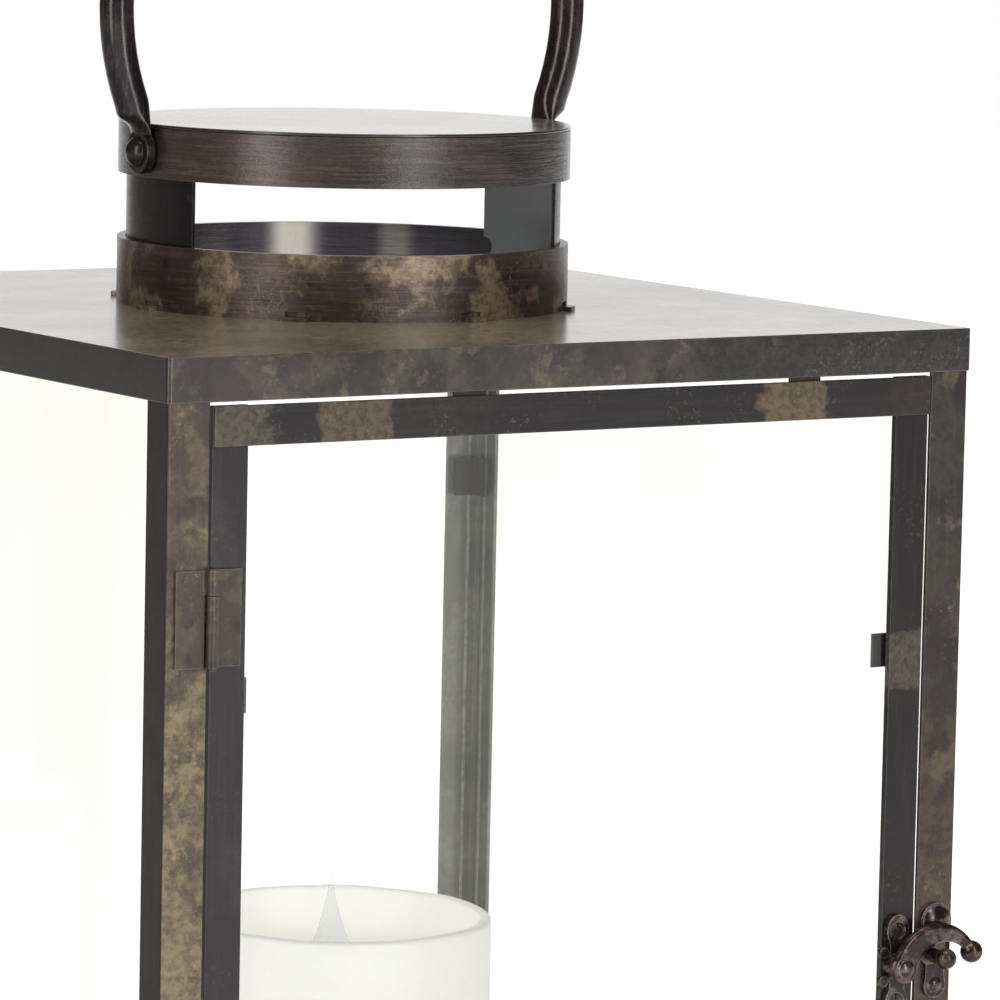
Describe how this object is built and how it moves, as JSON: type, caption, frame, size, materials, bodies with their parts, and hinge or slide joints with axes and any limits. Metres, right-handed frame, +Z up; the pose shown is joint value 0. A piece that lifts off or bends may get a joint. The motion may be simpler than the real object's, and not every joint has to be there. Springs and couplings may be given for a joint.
{
  "type": "candle lantern",
  "caption": "Square glass-sided metal lantern with a hinged hook-latched door, a vented round chimney, a bail handle and a flameless pillar candle inside.",
  "frame": {"origin": "middle of the underside of the base tray, on the surface it stands on", "axes": "+Z up through the chimney and the handle; the door faces -Y and its hinges are on the -X side; +X towards the latch"},
  "size_m": [0.2458, 0.2512, 0.4895],
  "materials": {
    "case_metal": "dark bronze-grey lacquer over steel, mottled and brushed",
    "door_metal": "dark blue-grey lacquer over steel",
    "chimney_metal": "brushed dark pewter lacquer",
    "sleeve_metal": "dark lacquered steel",
    "handle_metal": "dark lacquered round bar",
    "rivet_metal": "darkened steel",
    "hinge_metal": "olive-brown lacquered steel",
    "latch_metal": "dark lacquered casting",
    "clip_metal": "dull grey steel",
    "glass": "clear pane, square cut",
    "wax": "ivory wax, satin",
    "housing_plastic": "ivory moulded plastic",
    "battery_metal": "plain steel cells",
    "coil_copper": "enamelled copper winding",
    "switch_plastic": "black moulded plastic",
    "wire_metal": "bright steel",
    "flame_plastic": "translucent off-white plastic"
  },
  "bodies": {
    "lantern": {"lid": "case_metal", "base_tray": "case_metal", "post_front_left": "case_metal", "post_front_right": "case_metal", "post_back_left": "case_metal", "post_back_right": "case_metal", "pane_left": "glass", "pane_right": "glass", "pane_back": "glass", "pane_clips": "clip_metal", "door_stops": "clip_metal", "chimney_collar": "chimney_metal", "chimney_sleeve": "sleeve_metal", "chimney_cap_band": "chimney_metal", "chimney_cap_disc": "chimney_metal", "handle_rivets": "rivet_metal", "upper_post_leaf": "hinge_metal", "lower_post_leaf": "hinge_metal", "hinge_pins": "rivet_metal", "latch_keeper": "latch_metal", "keeper_screws": "rivet_metal"},
    "door": {"door_top_rail": "door_metal", "door_bottom_rail": "door_metal", "door_hinge_stile": "door_metal", "door_latch_stile": "door_metal", "door_glass": "glass", "door_glass_clips": "clip_metal", "upper_door_leaf": "hinge_metal", "lower_door_leaf": "hinge_metal", "latch_plate": "latch_metal", "latch_screws": "rivet_metal", "latch_rivet": "rivet_metal"},
    "latch_hook": {"latch_hook": "latch_metal"},
    "bail_handle": {"bail_handle": "handle_metal"},
    "candle": {"candle_shell": "wax", "candle_core": "housing_plastic", "candle_batteries": "battery_metal", "battery_cover": "housing_plastic", "drive_coil": "coil_copper", "flame_wire": "wire_metal"},
    "flame": {"flame": "flame_plastic", "flame_magnets": "wire_metal"},
    "switch": {"switch_knob": "switch_plastic"}
  },
  "joints": [
    {"name": "door_swing", "type": "hinge", "parent": "lantern", "child": "door", "pos_m": [-0.1074, -0.1211, 0.168], "axis": [0, 0, -1], "range_deg": [0, 165]},
    {"name": "latch_turn", "type": "hinge", "parent": "door", "child": "latch_hook", "pos_m": [0.1007, -0.124, 0.1685], "axis": [0, -1, 0], "range_deg": [-5.5, 110]},
    {"name": "bail_swing", "type": "hinge", "parent": "lantern", "child": "bail_handle", "pos_m": [0, 0, 0.3772], "axis": [1, 0, 0], "range_deg": [-109.5, 109.5]},
    {"name": "candle_lift", "type": "slide", "parent": "lantern", "child": "candle", "axis": [0, 0, 1], "range_m": [0, 0.03]},
    {"name": "flame_sway", "type": "hinge", "parent": "candle", "child": "flame", "pos_m": [0, 0, 0.1475], "axis": [0, 1, 0], "range_deg": [-10, 10]},
    {"name": "switch_slide", "type": "slide", "parent": "candle", "child": "switch", "axis": [1, 0, 0], "range_m": [0, 0.003]}
  ]
}
